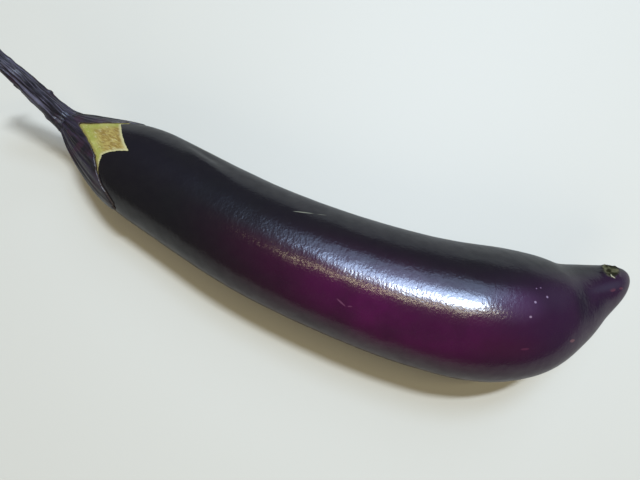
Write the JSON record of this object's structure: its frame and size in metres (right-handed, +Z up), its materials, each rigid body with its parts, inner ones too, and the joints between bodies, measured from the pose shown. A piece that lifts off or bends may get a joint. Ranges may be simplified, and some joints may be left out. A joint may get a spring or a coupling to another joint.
{
  "type": "eggplant",
  "caption": "Long, gently curved eggplant lying on its side as picked, with a tapered beak at the blossom end, a lobed calyx over the shoulder and a cut stem.",
  "frame": {"origin": "middle of the bounding box, on the surface that the eggplant lies on", "axes": "+X along the fruit from the stem to the blossom end, +Y to the side that both ends curve towards, +Z up"},
  "size_m": [0.279, 0.0674, 0.056],
  "materials": {
    "skin": "waxy, glossy near-black purple skin, burgundy where it catches the light",
    "calyx": "dull, ribbed, leathery purple-black with grey-green patches",
    "stem": "dull, fibrous purple-black, paler at the cut"
  },
  "bodies": {
    "root": {"fruit": "skin", "calyx": "calyx", "stem": "stem"}
  },
  "joints": []
}
